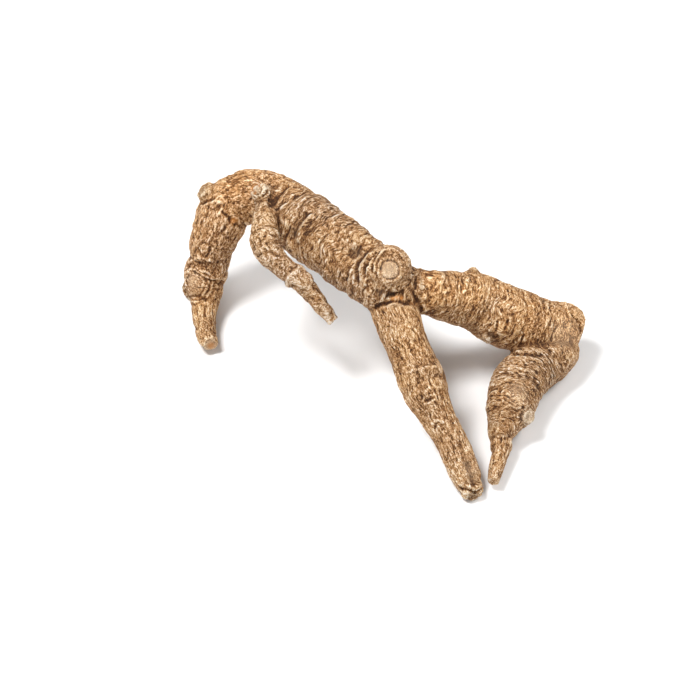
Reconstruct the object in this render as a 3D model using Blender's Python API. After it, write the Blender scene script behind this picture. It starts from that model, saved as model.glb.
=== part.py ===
"""A whole dried American ginseng root, lying on a flat surface, as one solid.

Blender 4.5, metres, +Z up. The origin is on the surface that the root lies on, at the middle of its
footprint. +X runs from the left arm towards the elbow, and +Y from the leg's tip towards the shoulder.
Sizes below are in millimetres, as they would be measured on the real root.

The limbs are tubes along smooth paths. They are fused into one skin, and the joins between them are
softened. Then the bark is raised from that skin: wrinkles by a formula that follows each limb, and
collars, scars, cracks and pits where this root has them.
"""

import math
from collections import namedtuple

import bmesh
import bpy
import numpy as np
from mathutils import Vector, noise
from mathutils.bvhtree import BVHTree

MM = 0.001

# The paths of the limbs: parts that a span between stations is read in, and the step along the path.
PATH_PARTS = 24
PATH_STEP = 0.5

# The skin: roundness of the tubes, size of the voxels, and the triangles that are kept.
TUBE_ROUNDNESS = 8
GRAIN = 0.6
TRIANGLES = 11000

# Softening: how far it reaches from a join, in radii, and how often the joins and the skin are smoothed.
JOIN_REACH = 0.25
JOIN_PASSES = 24
SKIN_PASSES = 2

# Wrinkles: the noise at which a ridge is full, and how far and over what length the rings sway.
FULL_RIDGE = 0.35
SWAY = 1.4
SWAY_LENGTH = 7.0

# The limbs' wrinkles blend over this many radii where limbs meet, and a share below the least is left out.
BARK_BLEND = 0.08
LEAST_SHARE = 0.01

# Each limb and each layer of its wrinkles reads the noise at a place of its own.
LIMB_OFFSET = 13.7
LAYER_OFFSET = 5.3

# Each limb is a list of stations from where it leaves the root to its tip: x, y, z and radius.
LIMBS = {
    "torso": [
        (-33.8, 42.0, 37.0, 7.4),
        (-30.3, 38.5, 37.0, 9.2),
        (-23.3, 30.5, 37.0, 10.3),
        (-13.3, 19.0, 37.0, 10.0),
        (-6.8, 12.5, 36.5, 9.7),
        (0.2, 6.5, 35.5, 9.6),
        (4.2, 4.0, 34.5, 9.0),
    ],
    "upper_arm": [
        (4.7, 4.5, 34.0, 8.0),
        (11.7, 5.5, 32.5, 6.3),
        (17.2, 6.0, 30.0, 7.4),
        (24.2, 7.5, 27.0, 8.4),
        (30.7, 8.5, 24.0, 9.2),
        (37.7, 7.0, 20.5, 10.0),
        (45.2, 7.0, 17.0, 9.6),
        (52.2, 7.5, 13.0, 9.2),
        (55.7, 6.5, 8.2, 9.4),
    ],
    "forearm": [
        (55.0, 6.0, 8.4, 8.5),
        (52.2, 1.0, 8.6, 8.2),
        (46.2, -5.5, 8.8, 8.2),
        (41.7, -13.5, 9.2, 8.3),
        (39.7, -20.5, 8.5, 7.8),
        (37.7, -26.5, 7.5, 6.0),
        (36.2, -30.5, 6.5, 4.3),
    ],
    "forearm_tip": [
        (37.2, -27.5, 7.2, 5.0),
        (36.2, -30.5, 6.5, 4.3),
        (36.2, -33.5, 5.5, 3.4),
        (35.7, -38.5, 5.0, 2.6),
        (34.2, -44.0, 4.5, 2.3),
        (33.2, -49.0, 4.0, 1.8),
    ],
    "left_arm": [
        (-26.3, 35.0, 37.0, 8.6),
        (-31.8, 41.5, 37.0, 8.3),
        (-37.8, 45.1, 37.0, 8.1),
        (-43.8, 46.0, 35.5, 8.4),
        (-48.8, 44.5, 32.5, 8.6),
        (-51.3, 41.5, 28.0, 8.2),
        (-53.8, 39.5, 22.0, 7.4),
        (-54.8, 38.0, 17.0, 6.6),
        (-56.3, 35.5, 12.0, 6.4),
        (-56.3, 32.0, 8.5, 5.8),
        (-56.3, 28.0, 6.5, 4.5),
    ],
    "left_tip": [
        (-56.3, 30.0, 7.5, 5.0),
        (-56.3, 28.0, 6.5, 4.5),
        (-56.3, 22.0, 5.5, 3.7),
        (-55.3, 15.0, 4.5, 3.0),
        (-53.8, 10.5, 4.0, 2.4),
    ],
    "small_arm": [
        (-35.8, 35.5, 42.0, 2.8),
        (-36.3, 30.5, 42.5, 3.4),
        (-36.3, 25.1, 42.4, 4.1),
        (-36.3, 19.7, 41.2, 4.4),
        (-35.0, 15.5, 39.5, 4.2),
        (-31.5, 11.9, 37.4, 3.7),
        (-28.0, 9.8, 35.4, 3.4),
        (-24.7, 7.8, 34.0, 3.5),
        (-22.4, 6.2, 31.6, 2.8),
        (-19.3, 3.7, 28.7, 2.5),
        (-14.8, -0.1, 24.5, 1.9),
    ],
    "leg": [
        (2.7, 4.5, 31.0, 7.4),
        (4.7, -3.0, 28.5, 7.2),
        (6.7, -8.5, 25.5, 6.7),
        (8.7, -12.5, 22.5, 6.5),
        (10.7, -17.0, 20.0, 7.0),
        (12.7, -21.5, 17.0, 7.0),
        (14.7, -26.0, 14.5, 6.2),
        (17.2, -30.5, 12.0, 5.2),
        (19.7, -34.5, 10.0, 4.9),
        (22.2, -39.5, 7.6, 4.8),
        (24.2, -44.5, 5.2, 4.8),
        (25.7, -48.5, 3.8, 4.3),
    ],
    "leg_lip": [
        (24.6, -46.5, 4.4, 4.0),
        (26.8, -51.5, 3.1, 3.5),
        (27.6, -53.3, 2.7, 2.8),
    ],
    "hip_scar": [
        (1.9, 7.9, 38.7, 7.4),
        (1.9, 4.2, 42.2, 7.4),
        (1.9, 2.8, 43.5, 6.8),
        (1.9, 1.8, 44.4, 5.4),
        (1.9, 1.1, 45.1, 3.6),
    ],
    "shoulder_knob": [
        (-35.7, 40.0, 40.0, 3.0),
        (-37.4, 37.2, 44.0, 2.9),
        (-39.0, 35.9, 46.5, 2.4),
    ],
    "shoulder_stub": [
        (-48.3, 44.5, 31.0, 4.2),
        (-50.6, 44.9, 33.0, 3.9),
        (-56.4, 46.0, 39.2, 3.1),
    ],
    "foot": [
        (-55.8, 35.5, 11.0, 4.8),
        (-57.8, 36.5, 7.5, 4.7),
        (-61.0, 40.1, 1.6, 3.8),
    ],
    "arm_knob": [
        (30.0, 13.0, 27.0, 3.2),
        (27.2, 15.4, 31.8, 2.3),
    ],
    "neck_knob": [
        (12.1, 9.2, 34.5, 1.9),
        (11.3, 9.1, 37.5, 1.3),
    ],
    "forearm_stub": [
        (39.6, -21.1, 8.5, 4.0),
        (46.4, -28.2, 10.1, 2.5),
    ],
    "elbow_flap": [
        (53.2, 9.0, 14.5, 7.6),
        (58.2, 11.0, 13.0, 6.8),
        (62.4, 11.8, 11.4, 4.8),
    ],
    "under_nub": [
        (34.2, -0.1, 20.0, 2.8),
        (32.1, -3.1, 19.0, 1.5),
    ],
}

# Each layer of a limb's wrinkles: their spacing along the limb, their length around it, and their depth.
# Long ones around the limb are rings, and long ones along it are furrows.
RING_BARK = [(9.0, 24.0, 0.7), (3.6, 11.0, 0.75)]
FOLDED_BARK = [(10.0, 20.0, 0.7), (4.2, 12.0, 0.7)]
NET_BARK = [(13.0, 10.0, 0.5), (9.0, 3.4, 0.75)]
PEBBLE_BARK = [(11.0, 14.0, 0.6), (4.4, 3.6, 0.6)]
TIP_BARK = [(5.0, 6.0, 0.35), (7.0, 2.6, 0.4)]
PLAIN_BARK = [(4.0, 4.0, 0.3)]
BARK = {
    "torso": RING_BARK,
    "upper_arm": FOLDED_BARK,
    "forearm": RING_BARK,
    "left_arm": PEBBLE_BARK,
    "small_arm": TIP_BARK,
    "leg": NET_BARK,
    "leg_lip": TIP_BARK,
    "forearm_tip": TIP_BARK,
    "left_tip": TIP_BARK,
}

# Ring-shaped swellings: the limb, how far along it, height, and width.
COLLARS = [
    ("leg", 29.0, 0.6, 1.6),
    ("leg", 34.0, 0.5, 1.4),
    ("forearm_tip", 3.5, 0.8, 1.0),
    ("forearm", 35.0, 0.5, 2.0),
    ("left_arm", 51.5, 0.6, 1.8),
    ("left_tip", 2.0, 0.4, 1.2),
    ("small_arm", 31.5, 0.6, 1.2),
    ("small_arm", 17.0, 0.4, 1.5),
    ("upper_arm", 9.5, 0.5, 1.4),
    ("shoulder_knob", 4.5, 0.5, 0.8),
]

# Marks are placed as this root shows them from above its front: across (the same as x), and up in that
# view. A line of them is found on the skin at places a step apart.
MARKS_SEEN_FROM = math.radians(43.3)
VIEWER_DISTANCE = 300.0
MARK_STEP = 0.7

# Creases and pits: depth, width, and the points that they run through.
CREASES = {
    "shoulder": (1.5, 1.2, [(-34.5, 54.3), (-32.3, 57.4), (-29.6, 60.9)]),
    "under_hip": (2.2, 1.3, [(-3.4, 20.7), (-0.7, 23.5), (3.0, 24.5), (6.6, 24.1), (10.1, 23.3)]),
    "elbow": (1.1, 1.1, [(54.7, 19.8), (54.1, 16.4), (52.5, 14.3), (52.3, 12.0), (51.9, 8.0)]),
    "arm_pit": (1.6, 1.3, [(-48.0, 50.9), (-45.5, 49.4), (-43.7, 47.2)]),
    "shoulder_stub": (1.0, 0.9, [(-57.6, 55.5), (-54.6, 56.6), (-51.9, 56.7), (-49.9, 54.4)]),
    "foot": (1.0, 0.9, [(-63.1, 26.0), (-59.9, 26.6), (-56.7, 25.2)]),
    "skin_flap": (0.8, 0.8, [(59.7, 19.8), (62.2, 17.3), (62.8, 13.3)]),
    "torso_dimple": (1.8, 2.4, [(-5.8, 40.8), (-7.7, 39.5), (-9.8, 38.6)]),
    "leg_trough": (1.5, 1.3, [(24.5, -20.2), (26.8, -25.9), (28.2, -30.6)]),
    "leg_end": (0.8, 0.6, [(23.2, -32.3), (26.2, -33.3), (29.2, -32.7)]),
    "neck": (0.8, 1.1, [(10.7, 30.4), (9.7, 26.9), (10.9, 23.9)]),
    "forearm_joint": (1.1, 1.1, [(38.5, 8.2), (41.2, 7.9), (44.2, 8.0), (49.0, 7.4)]),
    "hip_scar_face": (0.4, 1.6, [(1.7, 33.7)]),
    "hip_fold": (1.0, 0.9, [(-7.3, 29.8), (-8.0, 33.8), (-6.3, 37.8), (-3.4, 40.9)]),
    "leg_eye": (0.8, 1.0, [(13.2, -5.3), (14.2, -5.9)]),
}

# Sets of ripples around a point: its place, the first and last radius, and the ripples' spacing and depth.
RIPPLES = {
    "hip_scar": (1.7, 33.7, 3.2, 10.5, 2.3, 0.45),
    "forearm": (41.5, -9.0, 2.8, 10.0, 2.6, 0.35),
    "foot": (-59.6, 30.6, 3.2, 8.0, 2.4, 0.35),
}

BARK_COLOR = (0.52, 0.36, 0.20, 1.0)
BARK_ROUGHNESS = 0.85

Limb = namedtuple("Limb", "name stops centres radii along side up")


def clear_scene():
    """Remove every object that is in the scene."""
    for item in list(bpy.data.objects):
        bpy.data.objects.remove(item)


def smooth_path(stations):
    """Read a smooth curve through the stations: distances along it, and rows of x, y, z and radius."""
    knots = np.array(stations, float)
    ends = 2 * knots[[0, -1]] - knots[[1, -2]]
    padded = np.vstack([ends[:1], knots, ends[1:]])
    part = np.linspace(0.0, 1.0, PATH_PARTS, endpoint=False)[:, None]
    rows = []
    for before, start, stop, after in zip(padded, padded[1:], padded[2:], padded[3:]):
        slope = (stop - before) * part
        bend = (2 * before - 5 * start + 4 * stop - after) * part ** 2
        turn = (3 * start - before - 3 * stop + after) * part ** 3
        rows.append(start + (slope + bend + turn) / 2)
    curve = np.vstack(rows + [knots[-1:]])
    steps = np.linalg.norm(np.diff(curve[:, :3], axis=0), axis=1)
    lengths = np.concatenate([[0.0], np.cumsum(steps)])
    stops = np.linspace(0.0, lengths[-1], round(lengths[-1] / PATH_STEP) + 1)
    return stops, np.stack([np.interp(stops, lengths, curve[:, column]) for column in range(4)], axis=1)


def lay_out(name, stations):
    """Work out a limb's path, and two directions across it that don't twist around it."""
    stops, path = smooth_path(stations)
    along = np.gradient(path[:, :3], axis=0)
    along /= np.linalg.norm(along, axis=1, keepdims=True)
    side = np.cross(along[0], (0.0, 0.0, 1.0))
    sides = []
    for direction in along:
        side = side - direction * (side @ direction)
        side /= np.linalg.norm(side)
        sides.append(side)
    sides = np.array(sides)
    return Limb(name, stops, path[:, :3], path[:, 3], along, sides, np.cross(along, sides))


def tube(limb):
    """Make a closed tube along a limb, with flat ends."""
    curve = bpy.data.curves.new(limb.name, "CURVE")
    curve.dimensions = "3D"
    curve.bevel_depth = MM
    curve.bevel_resolution = TUBE_ROUNDNESS
    curve.use_fill_caps = True
    spline = curve.splines.new("POLY")
    spline.points.add(len(limb.stops) - 1)
    for point, centre, radius in zip(spline.points, limb.centres, limb.radii):
        point.co = (*(centre * MM), 1.0)
        point.radius = radius
    return bpy.data.objects.new(limb.name, curve)


def settle(item):
    """Give an object the mesh that its modifiers make of it."""
    depsgraph = bpy.context.evaluated_depsgraph_get()
    shape = bpy.data.meshes.new_from_object(item.evaluated_get(depsgraph))
    item.modifiers.clear()
    item.data = shape


def fuse(limbs):
    """Fuse tubes along all the limbs into one closed skin."""
    joined = bmesh.new()
    for limb in limbs:
        item = tube(limb)
        bpy.context.scene.collection.objects.link(item)
        depsgraph = bpy.context.evaluated_depsgraph_get()
        joined.from_mesh(bpy.data.meshes.new_from_object(item.evaluated_get(depsgraph)))
        bpy.data.objects.remove(item)
    mesh = bpy.data.meshes.new("ginseng_root")
    joined.to_mesh(mesh)
    joined.free()
    root = bpy.data.objects.new("ginseng_root", mesh)
    bpy.context.scene.collection.objects.link(root)
    remesh = root.modifiers.new("fuse", "REMESH")
    remesh.mode = "VOXEL"
    remesh.voxel_size = GRAIN * MM
    settle(root)
    return root


def get_points(mesh):
    """Read the mesh's points, in millimetres."""
    flat = np.empty(len(mesh.vertices) * 3)
    mesh.vertices.foreach_get("co", flat)
    return flat.reshape(-1, 3) / MM


def get_normals(mesh):
    """Read the directions that the mesh's points face."""
    flat = np.empty(len(mesh.vertices) * 3)
    mesh.vertices.foreach_get("normal", flat)
    return flat.reshape(-1, 3)


def set_points(mesh, points):
    """Write the mesh's points, in millimetres."""
    mesh.vertices.foreach_set("co", (points * MM).ravel())
    mesh.update()


def place_on_limb(points, limb):
    """Find the points' places on a limb: along it, to its side, up, and how far out in its radii."""
    squares = (points ** 2).sum(axis=1)[:, None] + (limb.centres ** 2).sum(axis=1)
    nearest = (squares - 2 * points @ limb.centres.T).argmin(axis=1)
    offsets = points - limb.centres[nearest]
    along = limb.stops[nearest] + (offsets * limb.along[nearest]).sum(axis=1)
    side = (offsets * limb.side[nearest]).sum(axis=1)
    up = (offsets * limb.up[nearest]).sum(axis=1)
    out = np.linalg.norm(offsets, axis=1) / limb.radii[nearest]
    return np.stack([along, side, up], axis=1), out


def soften_joins(root, limbs):
    """Smooth the skin a little everywhere, and much more where one limb grows from another."""
    points = get_points(root.data)
    reach = np.sort([place_on_limb(points, limb)[1] for limb in limbs], axis=0)
    weights = np.exp(-(reach[1] - reach[0]) / JOIN_REACH)
    group = root.vertex_groups.new(name="joins")
    for index, weight in enumerate(weights):
        group.add([index], float(weight), "REPLACE")
    joins = root.modifiers.new("soften the joins", "SMOOTH")
    joins.vertex_group = "joins"
    joins.iterations = JOIN_PASSES
    skin = root.modifiers.new("smooth the skin", "SMOOTH")
    skin.iterations = SKIN_PASSES
    settle(root)


def wrinkles(spots):
    """Rounded ridges with sharp furrows between them, from -1 in a furrow to 1 on a ridge."""
    heights = np.array([noise.noise(Vector(spot)) for spot in spots])
    return np.clip(np.abs(heights) / FULL_RIDGE, 0.0, 1.0) * 2 - 1


def bark_height(limb, places, order):
    """Height of a limb's bark above its smooth skin."""
    wavy = places.copy()
    wavy[:, 0] += [SWAY * noise.noise(Vector(place) / SWAY_LENGTH) for place in places]
    height = np.zeros(len(places))
    for layer, (length_along, length_around, depth) in enumerate(BARK.get(limb.name, PLAIN_BARK)):
        start = LIMB_OFFSET * order + LAYER_OFFSET * layer
        spots = wavy / (length_along, length_around, length_around) + start
        height += depth / 2 * wrinkles(spots)
    for name, where, rise, width in COLLARS:
        if name == limb.name:
            height += rise * np.exp(-((wavy[:, 0] - where) / width) ** 2)
    return height


def raise_bark(points, limbs):
    """Height of the bark at each point, blended where limbs meet."""
    placed = [place_on_limb(points, limb) for limb in limbs]
    nearest = np.min([out for _, out in placed], axis=0)
    total = np.zeros(len(points))
    height = np.zeros(len(points))
    for order, (limb, (places, out)) in enumerate(zip(limbs, placed)):
        weight = np.exp(-(out - nearest) / BARK_BLEND)
        near = weight > LEAST_SHARE
        height[near] += weight[near] * bark_height(limb, places[near], order)
        total += weight
    return height / total


def marks_view():
    """The direction from the marks' viewer to the root, and that view's up."""
    tilt = MARKS_SEEN_FROM
    return Vector((0.0, math.cos(tilt), -math.sin(tilt))), Vector((0.0, math.sin(tilt), math.cos(tilt)))


def find_on_skin(tree, places):
    """Find the points of the skin, in millimetres, that are seen at places in the marks' view."""
    forward, upward = marks_view()
    spots = []
    for across, up in places:
        start = Vector((across * MM, 0.0, 0.0)) + upward * up * MM - forward * VIEWER_DISTANCE * MM
        spot = tree.ray_cast(start, forward)[0]
        if spot:
            spots.append(np.array(spot) / MM)
    return spots


def distance_to(points, spots):
    """Distance from each point to the nearest of the spots."""
    return np.min([np.linalg.norm(points - spot, axis=1) for spot in spots], axis=0)


def run_through(corners):
    """Places about a step apart along straight runs from corner to corner."""
    places = [corners[0]]
    for start, stop in zip(corners, corners[1:]):
        count = max(1, round(math.dist(start, stop) / MARK_STEP))
        for step in range(1, count + 1):
            place = Vector(start).lerp(Vector(stop), step / count)
            places.append(tuple(place))
    return places


def mark_height(points, tree):
    """Height that the creases, pits and ripples add at each point."""
    height = np.zeros(len(points))
    for depth, width, corners in CREASES.values():
        spots = find_on_skin(tree, run_through(corners))
        height -= depth * np.exp(-(distance_to(points, spots) / width) ** 2)
    for across, up, first, last, spacing, depth in RIPPLES.values():
        distance = distance_to(points, find_on_skin(tree, [(across, up)]))
        fade = np.clip((last - distance) / spacing, 0.0, 1.0) * (distance > first)
        height -= depth * fade * np.cos(2 * math.pi * (distance - first) / spacing)
    return height


def add_relief(root, limbs):
    """Move the skin out and in by the height of the bark and of the marks."""
    mesh = root.data
    tree = BVHTree.FromPolygons([v.co for v in mesh.vertices], [p.vertices for p in mesh.polygons])
    points = get_points(mesh)
    height = raise_bark(points, limbs) + mark_height(points, tree)
    set_points(mesh, points + get_normals(mesh) * height[:, None])


def reduce_and_rest(root):
    """Bring the skin down to the triangles it may have, and cut small flats where it rests."""
    triangles = sum(len(face.vertices) - 2 for face in root.data.polygons)
    fewer = root.modifiers.new("fewer triangles", "DECIMATE")
    fewer.ratio = TRIANGLES / triangles
    settle(root)
    shape = bmesh.new()
    shape.from_mesh(root.data)
    everything = shape.verts[:] + shape.edges[:] + shape.faces[:]
    surface = {"plane_co": (0, 0, 0), "plane_no": (0, 0, -1)}
    cut = bmesh.ops.bisect_plane(shape, geom=everything, clear_outer=True, **surface)
    rims = [item for item in cut["geom_cut"] if isinstance(item, bmesh.types.BMEdge)]
    bmesh.ops.edgeloop_fill(shape, edges=rims)
    bmesh.ops.recalc_face_normals(shape, faces=shape.faces)
    shape.to_mesh(root.data)
    shape.free()


def bark_material():
    """Dry tan bark."""
    material = bpy.data.materials.new("dry_bark")
    material.use_nodes = True
    shader = material.node_tree.nodes["Principled BSDF"]
    shader.inputs["Base Color"].default_value = BARK_COLOR
    shader.inputs["Roughness"].default_value = BARK_ROUGHNESS
    shader.inputs["Metallic"].default_value = 0.0
    return material


def build_root():
    """Build the whole root."""
    limbs = [lay_out(name, stations) for name, stations in LIMBS.items()]
    root = fuse(limbs)
    soften_joins(root, limbs)
    add_relief(root, limbs)
    reduce_and_rest(root)
    root.vertex_groups.clear()
    root.data.materials.append(bark_material())
    root.data.shade_smooth()


clear_scene()
build_root()
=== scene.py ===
# %% [markdown]
# # A dried ginseng root
# The subject is one whole root, dried until its bark shrank into rings, folds and a fine net of wrinkles.
# Everything here is one piece that grew as one body, so the lesson makes one mesh and one finish for it.
# The order is: draw the limbs, fuse them into a skin, raise the bark from that skin, colour it, light it.

import math
from collections import namedtuple

import bpy
import numpy as np
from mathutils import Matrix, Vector, noise
from mathutils.bvhtree import BVHTree


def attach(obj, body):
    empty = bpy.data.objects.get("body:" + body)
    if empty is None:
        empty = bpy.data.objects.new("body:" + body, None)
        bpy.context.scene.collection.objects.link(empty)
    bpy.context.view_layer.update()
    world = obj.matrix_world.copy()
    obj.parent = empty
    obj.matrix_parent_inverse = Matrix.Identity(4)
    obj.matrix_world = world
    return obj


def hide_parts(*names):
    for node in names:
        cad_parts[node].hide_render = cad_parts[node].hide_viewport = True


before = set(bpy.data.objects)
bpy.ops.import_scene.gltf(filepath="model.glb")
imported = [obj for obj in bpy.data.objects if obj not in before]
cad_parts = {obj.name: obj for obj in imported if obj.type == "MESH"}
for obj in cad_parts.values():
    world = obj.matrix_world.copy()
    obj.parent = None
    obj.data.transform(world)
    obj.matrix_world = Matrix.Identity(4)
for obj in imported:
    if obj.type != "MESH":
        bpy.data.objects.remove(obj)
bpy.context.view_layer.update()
# Lengths below are in millimetres, and MM turns them into the frame's metres.
MM = 0.001
print("nodes in the frame:", sorted(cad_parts))

# %% [markdown]
# ## The limbs
# A root like this is a thick torso with limbs that leave it, bend and taper to a tip. Each one is described
# by stations along its middle: x, y, z and the radius there, in millimetres. A smooth curve through the
# stations gives the limb its flow, so few stations are needed. The limbs could be sculpted by hand instead,
# but a station can be moved later without spoiling its neighbours. The short limbs are stubs of cut ones.

# %% Stations of the limbs
LIMBS = {
    "torso": [
        (-33.8, 42.0, 37.0, 7.4),
        (-30.3, 38.5, 37.0, 9.2),
        (-23.3, 30.5, 37.0, 10.3),
        (-13.3, 19.0, 37.0, 10.0),
        (-6.8, 12.5, 36.5, 9.7),
        (0.2, 6.5, 35.5, 9.6),
        (4.2, 4.0, 34.5, 9.0),
    ],
    "upper_arm": [
        (4.7, 4.5, 34.0, 8.0),
        (11.7, 5.5, 32.5, 6.3),
        (17.2, 6.0, 30.0, 7.4),
        (24.2, 7.5, 27.0, 8.4),
        (30.7, 8.5, 24.0, 9.2),
        (37.7, 7.0, 20.5, 10.0),
        (45.2, 7.0, 17.0, 9.6),
        (52.2, 7.5, 13.0, 9.2),
        (55.7, 6.5, 8.2, 9.4),
    ],
    "forearm": [
        (55.0, 6.0, 8.4, 8.5),
        (52.2, 1.0, 8.6, 8.2),
        (46.2, -5.5, 8.8, 8.2),
        (41.7, -13.5, 9.2, 8.3),
        (39.7, -20.5, 8.5, 7.8),
        (37.7, -26.5, 7.5, 6.0),
        (36.2, -30.5, 6.5, 4.3),
    ],
    "forearm_tip": [
        (37.2, -27.5, 7.2, 5.0),
        (36.2, -30.5, 6.5, 4.3),
        (36.2, -33.5, 5.5, 3.4),
        (35.7, -38.5, 5.0, 2.6),
        (34.2, -44.0, 4.5, 2.3),
        (33.2, -49.0, 4.0, 1.8),
    ],
    "left_arm": [
        (-26.3, 35.0, 37.0, 8.6),
        (-31.8, 41.5, 37.0, 8.3),
        (-37.8, 45.1, 37.0, 8.1),
        (-43.8, 46.0, 35.5, 8.4),
        (-48.8, 44.5, 32.5, 8.6),
        (-51.3, 41.5, 28.0, 8.2),
        (-53.8, 39.5, 22.0, 7.4),
        (-54.8, 38.0, 17.0, 6.6),
        (-56.3, 35.5, 12.0, 6.4),
        (-56.3, 32.0, 8.5, 5.8),
        (-56.3, 28.0, 6.5, 4.5),
    ],
    "left_tip": [
        (-56.3, 30.0, 7.5, 5.0),
        (-56.3, 28.0, 6.5, 4.5),
        (-56.3, 22.0, 5.5, 3.7),
        (-55.3, 15.0, 4.3, 3.1),
        (-53.8, 10.9, 4.7, 2.5),
    ],
    "small_arm": [
        (-35.8, 35.5, 42.0, 2.8),
        (-36.3, 30.5, 42.5, 3.4),
        (-36.3, 25.1, 42.4, 4.1),
        (-36.3, 19.7, 41.2, 4.4),
        (-35.0, 15.5, 39.5, 4.2),
        (-31.5, 11.9, 37.4, 3.7),
        (-28.0, 9.8, 35.4, 3.4),
        (-24.7, 7.8, 34.0, 3.5),
        (-22.4, 6.2, 31.6, 2.8),
        (-19.3, 3.7, 28.7, 2.5),
        (-14.8, -0.1, 24.5, 1.9),
    ],
    "leg": [
        (2.7, 4.5, 31.0, 7.4),
        (4.7, -3.0, 28.5, 7.2),
        (6.7, -8.5, 25.5, 6.7),
        (8.7, -12.5, 22.5, 6.5),
        (10.7, -17.0, 20.0, 7.0),
        (12.7, -21.5, 17.0, 7.0),
        (14.7, -26.0, 14.5, 6.2),
        (17.2, -30.5, 12.0, 5.2),
        (19.7, -34.5, 10.0, 4.9),
        (22.2, -39.5, 7.6, 4.8),
        (24.2, -44.5, 5.2, 4.8),
        (25.7, -48.5, 3.8, 4.3),
    ],
    "leg_lip": [
        (24.6, -46.5, 4.4, 4.0),
        (26.8, -51.5, 3.1, 3.5),
        (27.6, -53.3, 2.7, 2.8),
    ],
    "hip_scar": [
        (1.9, 7.9, 38.7, 7.4),
        (1.9, 4.2, 42.2, 7.4),
        (1.9, 2.8, 43.5, 6.8),
        (1.9, 1.8, 44.4, 5.4),
        (1.9, 1.1, 45.1, 3.6),
    ],
    "shoulder_knob": [
        (-35.7, 40.0, 40.0, 3.2),
        (-36.7, 37.8, 43.2, 3.3),
        (-38.2, 36.4, 45.6, 2.8),
        (-38.9, 35.9, 46.5, 2.4),
    ],
    "shoulder_stub": [
        (-48.3, 44.5, 31.0, 4.2),
        (-50.6, 44.9, 33.0, 3.9),
        (-56.4, 46.0, 39.2, 3.1),
    ],
    "foot": [
        (-55.8, 35.5, 11.0, 4.8),
        (-57.8, 36.5, 7.5, 4.7),
        (-61.0, 40.1, 1.6, 3.8),
    ],
    "arm_knob": [
        (30.0, 13.0, 27.0, 3.2),
        (27.2, 15.4, 31.8, 2.3),
    ],
    "neck_knob": [
        (12.1, 9.2, 34.5, 1.9),
        (11.3, 9.1, 37.5, 1.3),
    ],
    "forearm_stub": [
        (39.9, -21.6, 7.0, 4.4),
        (42.6, -25.2, 8.8, 3.3),
        (44.8, -28.0, 10.4, 2.5),
    ],
    "elbow_flap": [
        (53.2, 9.0, 14.5, 7.6),
        (58.2, 11.0, 13.0, 6.8),
        (62.4, 11.8, 11.4, 4.8),
    ],
    "under_nub": [
        (34.2, -0.1, 20.0, 2.8),
        (32.1, -3.1, 19.0, 1.5),
    ],
}
print("limbs:", ", ".join(LIMBS))

# %% A smooth path through the stations
PATH_STEP = 0.5
CURVE_PARTS = 24
Limb = namedtuple("Limb", "name stops centres radii along side up")


def smooth_path(stations):
    """Distances along a smooth curve through the stations, and its rows of x, y, z and radius."""
    knots = np.array(stations, float)
    ends = 2 * knots[[0, -1]] - knots[[1, -2]]
    padded = np.vstack([ends[:1], knots, ends[1:]])
    part = np.linspace(0.0, 1.0, CURVE_PARTS, endpoint=False)[:, None]
    rows = []
    for before, start, stop, after in zip(padded, padded[1:], padded[2:], padded[3:]):
        slope = (stop - before) * part
        bend = (2 * before - 5 * start + 4 * stop - after) * part ** 2
        turn = (3 * start - before - 3 * stop + after) * part ** 3
        rows.append(start + (slope + bend + turn) / 2)
    curve = np.vstack(rows + [knots[-1:]])
    steps = np.linalg.norm(np.diff(curve[:, :3], axis=0), axis=1)
    lengths = np.concatenate([[0.0], np.cumsum(steps)])
    stops = np.linspace(0.0, lengths[-1], round(lengths[-1] / PATH_STEP) + 1)
    path = [np.interp(stops, lengths, curve[:, column]) for column in range(4)]
    return stops, np.stack(path, axis=1)


def lay_out(name, stations):
    """A limb's path, and two directions across it that don't twist around it."""
    stops, path = smooth_path(stations)
    along = np.gradient(path[:, :3], axis=0)
    along /= np.linalg.norm(along, axis=1, keepdims=True)
    side = np.cross(along[0], (0.0, 0.0, 1.0))
    sides = []
    for direction in along:
        side = side - direction * (side @ direction)
        side /= np.linalg.norm(side)
        sides.append(side)
    sides = np.array(sides)
    return Limb(name, stops, path[:, :3], path[:, 3], along, sides, np.cross(along, sides))


limbs = [lay_out(name, stations) for name, stations in LIMBS.items()]
print("longest limb:", round(max(limb.stops[-1] for limb in limbs)), "mm")

# %% [markdown]
# ## From curves to one skin
# Each limb is drawn as a curve, point by point, with its own radius at each point, and a round bevel. That
# is quicker to shape than a mesh tube, because the taper is a number on the point. The curves become
# meshes, are joined, and a voxel remesh fuses them into one closed skin. A Boolean would fuse them too, but
# it leaves sharp joins, and its long thin faces can't carry wrinkles.

# %% Draw the limbs
BEVEL_STEPS = 8


def draw_limb(limb):
    """Draw one limb as a curve with a round, tapered bevel and flat ends, and make it a mesh."""
    bpy.ops.curve.primitive_nurbs_path_add(radius=MM)
    bpy.ops.object.mode_set(mode="EDIT")
    bpy.ops.curve.select_all(action="SELECT")
    bpy.ops.curve.delete(type="VERT")
    for centre, radius in zip(limb.centres, limb.radii):
        bpy.ops.curve.vertex_add(location=centre * MM)
        bpy.ops.curve.radius_set(radius=radius)
    bpy.ops.curve.select_all(action="SELECT")
    bpy.ops.curve.spline_type_set(type="POLY")
    bpy.ops.object.mode_set(mode="OBJECT")
    curve = bpy.context.object
    curve.name = limb.name
    curve.data.dimensions = "3D"
    curve.data.bevel_depth = MM
    curve.data.bevel_resolution = BEVEL_STEPS
    curve.data.use_fill_caps = True
    bpy.ops.object.convert(target="MESH")
    return curve


bpy.ops.object.select_all(action="DESELECT")
tubes = [draw_limb(limb) for limb in limbs]
print("tubes drawn:", len(tubes))

# %% Fuse the limbs into one skin
VOXEL = 0.28

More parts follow.
